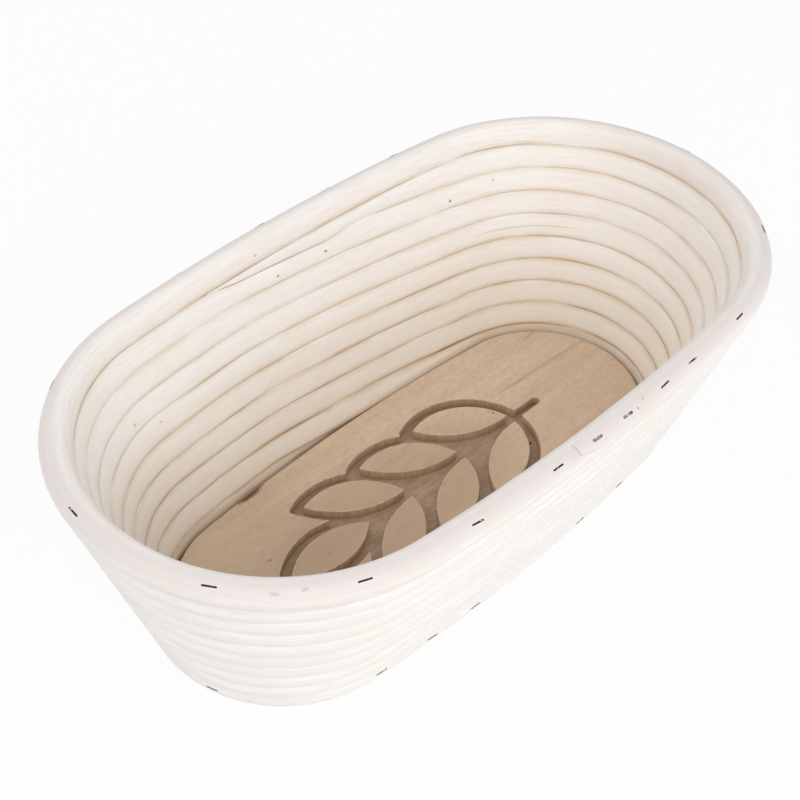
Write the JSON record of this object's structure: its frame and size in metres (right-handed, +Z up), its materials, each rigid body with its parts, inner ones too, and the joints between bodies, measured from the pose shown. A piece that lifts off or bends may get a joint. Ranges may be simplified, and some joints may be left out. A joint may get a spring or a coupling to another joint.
{
  "type": "proofing basket",
  "caption": "Oval bread proofing basket: a flared wall of coiled round cane with a lapped rim, stapled round a wooden base board that carries a routed wheat ear.",
  "frame": {"origin": "middle of the base board's underside, on the surface that the basket stands on", "axes": "+X along the basket's length towards the stem of the wheat ear, +Z up, -Y the side where the rim's ends lap"},
  "size_m": [0.2906, 0.1582, 0.0919],
  "materials": {
    "board": "sanded, untreated",
    "cane": "peeled, untreated",
    "rim": "peeled, untreated",
    "staple": "dull wire"
  },
  "bodies": {
    "root": {"base_board": "board", "lower_cane": "cane", "upper_cane": "cane", "rim_cane": "rim", "base_staples": "staple", "rim_staples": "staple", "course_2_staples": "staple", "course_3_staples": "staple", "course_4_staples": "staple", "course_5_staples": "staple", "course_6_staples": "staple", "course_7_staples": "staple", "course_8_staples": "staple", "course_9_staples": "staple"}
  },
  "joints": []
}
